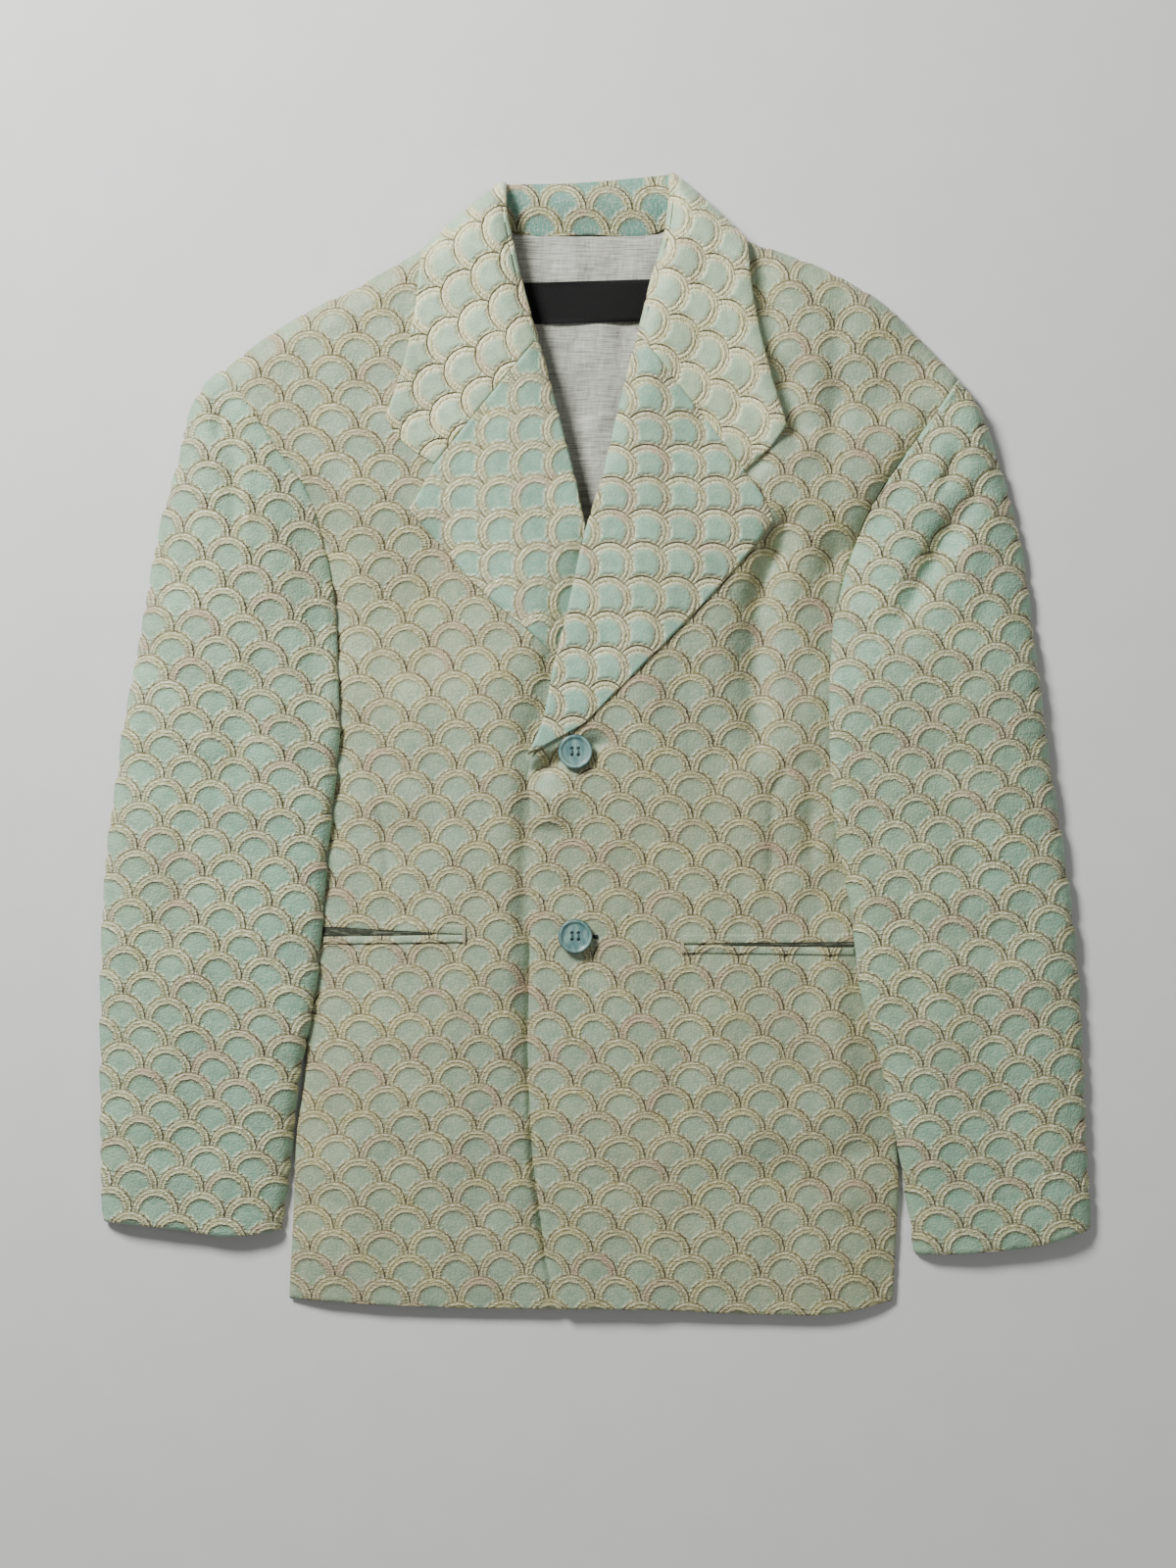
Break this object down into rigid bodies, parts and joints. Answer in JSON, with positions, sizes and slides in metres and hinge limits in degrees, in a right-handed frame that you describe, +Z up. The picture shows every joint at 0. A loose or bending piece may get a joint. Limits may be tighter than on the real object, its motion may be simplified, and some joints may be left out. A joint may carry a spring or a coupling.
{
  "type": "blazer laid flat",
  "caption": "Single-breasted blazer in scale-patterned brocade with wide notched lapels and jetted pockets, buttoned and laid flat on its back",
  "frame": {"origin": "Centre of the bounding box on the surface that the blazer lies on", "axes": "+Y runs up the garment to the collar, +X to the wearer's left, +Z up from the surface"},
  "size_m": [0.6905, 0.7967, 0.0328],
  "materials": {
    "brocade": "satin brocade of the fronts, back and collar, woven with a gold-edged scale pattern",
    "facing_brocade": "the same satin brocade on the lapels, turned on the grain and bluer",
    "sleeve_brocade": "the same satin brocade on the sleeves, mintier",
    "lining": "off-white slubby plain weave",
    "label": "black woven satin, bare",
    "pocket_cloth": "shaded inner cloth of the pockets",
    "button": "teal-blue polyester, semi-gloss"
  },
  "bodies": {
    "root": {"back": "brocade", "collar_leaf_back": "brocade", "back_lining": "lining", "label": "label", "front_right": "brocade", "front_left": "brocade", "lapel_right": "facing_brocade", "lapel_left": "facing_brocade", "collar_leaf_right": "brocade", "collar_leaf_left": "brocade", "collar_stand": "brocade", "top_sleeve_right": "sleeve_brocade", "top_sleeve_left": "sleeve_brocade", "under_sleeve_right": "sleeve_brocade", "under_sleeve_left": "sleeve_brocade", "pocket_jet_upper_right": "brocade", "pocket_jet_lower_right": "brocade", "pocket_facing_right": "pocket_cloth", "pocket_jet_upper_left": "brocade", "pocket_jet_lower_left": "brocade", "pocket_facing_left": "pocket_cloth", "button_top": "button", "button_lower": "button"}
  },
  "joints": []
}
